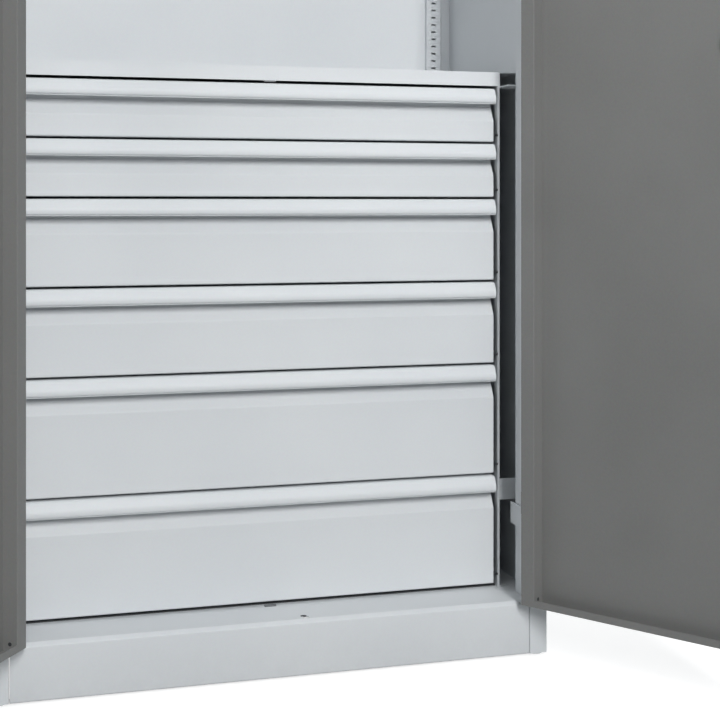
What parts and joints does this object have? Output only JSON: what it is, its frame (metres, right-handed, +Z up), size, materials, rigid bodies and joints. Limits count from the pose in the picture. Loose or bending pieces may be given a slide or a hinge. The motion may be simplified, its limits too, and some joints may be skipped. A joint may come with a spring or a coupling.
{
  "type": "heavy-duty drawer cabinet",
  "caption": "Tall steel cupboard with two hinged doors, a stack of full-width drawers with rolled grip lips below and adjustable shelves above.",
  "frame": {"origin": "floor level, in the middle of the back", "axes": "+Z up, -Y out of the front, +X to the right seen from the front"},
  "size_m": [1.3587, 0.8991, 1.95],
  "materials": {
    "carcass_paint": "satin light grey powder coat",
    "door_paint": "satin mid grey powder coat",
    "zinc": "bright zinc plate",
    "black_plastic": "fine grained black",
    "rubber": "matt black",
    "chrome": "nickel plated"
  },
  "bodies": {
    "cabinet": {"side_panel_left": "carcass_paint", "side_panel_right": "carcass_paint", "back_panel": "carcass_paint", "roof_panel": "carcass_paint", "base_pan": "carcass_paint", "plinth_front": "carcass_paint", "levelling_feet": "black_plastic", "foot_gussets": "carcass_paint", "drawer_housing_left": "carcass_paint", "drawer_housing_right": "carcass_paint", "pocket_brackets": "carcass_paint", "fixed_shelf": "carcass_paint", "centre_tabs": "black_plastic", "shelf_uprights_rear": "carcass_paint", "shelf_uprights_front": "carcass_paint", "adjustable_shelf_lower": "carcass_paint", "adjustable_shelf_upper": "carcass_paint", "shelf_clips": "zinc", "frame_hinge_halves": "carcass_paint", "hinge_pins": "zinc", "cabinet_rails": "zinc"},
    "left_door": {"door_pan_left": "door_paint", "door_hinge_halves_left": "door_paint", "door_overlap_strip": "door_paint", "door_buffers_left": "rubber"},
    "right_door": {"door_pan_right": "door_paint", "door_hinge_halves_right": "door_paint", "door_buffers_right": "rubber", "lock_plate": "black_plastic", "rod_guides": "black_plastic"},
    "door_handle": {"swivel_handle": "black_plastic", "lock_cam": "zinc"},
    "key_cylinder": {"lock_cylinder": "chrome"},
    "upper_rod": {"lock_rod_upper": "zinc"},
    "lower_rod": {"lock_rod_lower": "zinc"},
    "drawer_1": {"drawer_1_front": "carcass_paint", "drawer_1_box": "carcass_paint", "drawer_1_rails": "zinc"},
    "runner_1": {"middle_rails_1": "zinc"},
    "drawer_2": {"drawer_2_front": "carcass_paint", "drawer_2_box": "carcass_paint", "drawer_2_rails": "zinc"},
    "runner_2": {"middle_rails_2": "zinc"},
    "drawer_3": {"drawer_3_front": "carcass_paint", "drawer_3_box": "carcass_paint", "drawer_3_rails": "zinc"},
    "runner_3": {"middle_rails_3": "zinc"},
    "drawer_4": {"drawer_4_front": "carcass_paint", "drawer_4_box": "carcass_paint", "drawer_4_rails": "zinc"},
    "runner_4": {"middle_rails_4": "zinc"},
    "drawer_5": {"drawer_5_front": "carcass_paint", "drawer_5_box": "carcass_paint", "drawer_5_rails": "zinc"},
    "runner_5": {"middle_rails_5": "zinc"},
    "drawer_6": {"drawer_6_front": "carcass_paint", "drawer_6_box": "carcass_paint", "drawer_6_rails": "zinc"},
    "runner_6": {"middle_rails_6": "zinc"}
  },
  "joints": [
    {"name": "right_door_hinge", "type": "hinge", "parent": "cabinet", "child": "right_door", "pos_m": [0.4404, -0.504, 0.7], "axis": [0, 0, 1], "range_deg": [-123.4, 56.6]},
    {"name": "left_door_hinge", "type": "hinge", "parent": "cabinet", "child": "left_door", "pos_m": [-0.4404, -0.504, 0.7], "axis": [0, 0, -1], "range_deg": [-123.4, 56.6]},
    {"name": "handle_turn", "type": "hinge", "parent": "right_door", "child": "door_handle", "pos_m": [0.65582, -0.83797, 1.05], "axis": [-0.8348, -0.5505, 0], "range_deg": [0, 90]},
    {"name": "key_turn", "type": "hinge", "parent": "right_door", "child": "key_cylinder", "pos_m": [0.65582, -0.83797, 1.088], "axis": [-0.8348, -0.5505, 0], "range_deg": [0, 90]},
    {"name": "upper_rod_slide", "type": "slide", "parent": "right_door", "child": "upper_rod", "axis": [0, 0, 1], "range_m": [0, 0.0161]},
    {"name": "lower_rod_slide", "type": "slide", "parent": "right_door", "child": "lower_rod", "axis": [0, 0, -1], "range_m": [0, 0.0161]},
    {"name": "drawer_1_slide", "type": "slide", "parent": "cabinet", "child": "drawer_1", "axis": [0, -1, 0], "range_m": [0, 0.32]},
    {"name": "runner_1_slide", "type": "slide", "parent": "cabinet", "child": "runner_1", "axis": [0, -1, 0], "range_m": [0, 0.16]},
    {"name": "drawer_2_slide", "type": "slide", "parent": "cabinet", "child": "drawer_2", "axis": [0, -1, 0], "range_m": [0, 0.32]},
    {"name": "runner_2_slide", "type": "slide", "parent": "cabinet", "child": "runner_2", "axis": [0, -1, 0], "range_m": [0, 0.16]},
    {"name": "drawer_3_slide", "type": "slide", "parent": "cabinet", "child": "drawer_3", "axis": [0, -1, 0], "range_m": [0, 0.32]},
    {"name": "runner_3_slide", "type": "slide", "parent": "cabinet", "child": "runner_3", "axis": [0, -1, 0], "range_m": [0, 0.16]},
    {"name": "drawer_4_slide", "type": "slide", "parent": "cabinet", "child": "drawer_4", "axis": [0, -1, 0], "range_m": [0, 0.32]},
    {"name": "runner_4_slide", "type": "slide", "parent": "cabinet", "child": "runner_4", "axis": [0, -1, 0], "range_m": [0, 0.16]},
    {"name": "drawer_5_slide", "type": "slide", "parent": "cabinet", "child": "drawer_5", "axis": [0, -1, 0], "range_m": [0, 0.32]},
    {"name": "runner_5_slide", "type": "slide", "parent": "cabinet", "child": "runner_5", "axis": [0, -1, 0], "range_m": [0, 0.16]},
    {"name": "drawer_6_slide", "type": "slide", "parent": "cabinet", "child": "drawer_6", "axis": [0, -1, 0], "range_m": [0, 0.32]},
    {"name": "runner_6_slide", "type": "slide", "parent": "cabinet", "child": "runner_6", "axis": [0, -1, 0], "range_m": [0, 0.16]}
  ],
  "couplings": [
    {"joint": "upper_rod_slide", "follows": "handle_turn", "m_per_rad": 0.010186},
    {"joint": "lower_rod_slide", "follows": "handle_turn", "m_per_rad": 0.010186},
    {"joint": "runner_1_slide", "follows": "drawer_1_slide", "ratio": 0.5},
    {"joint": "runner_2_slide", "follows": "drawer_2_slide", "ratio": 0.5},
    {"joint": "runner_3_slide", "follows": "drawer_3_slide", "ratio": 0.5},
    {"joint": "runner_4_slide", "follows": "drawer_4_slide", "ratio": 0.5},
    {"joint": "runner_5_slide", "follows": "drawer_5_slide", "ratio": 0.5},
    {"joint": "runner_6_slide", "follows": "drawer_6_slide", "ratio": 0.5}
  ]
}
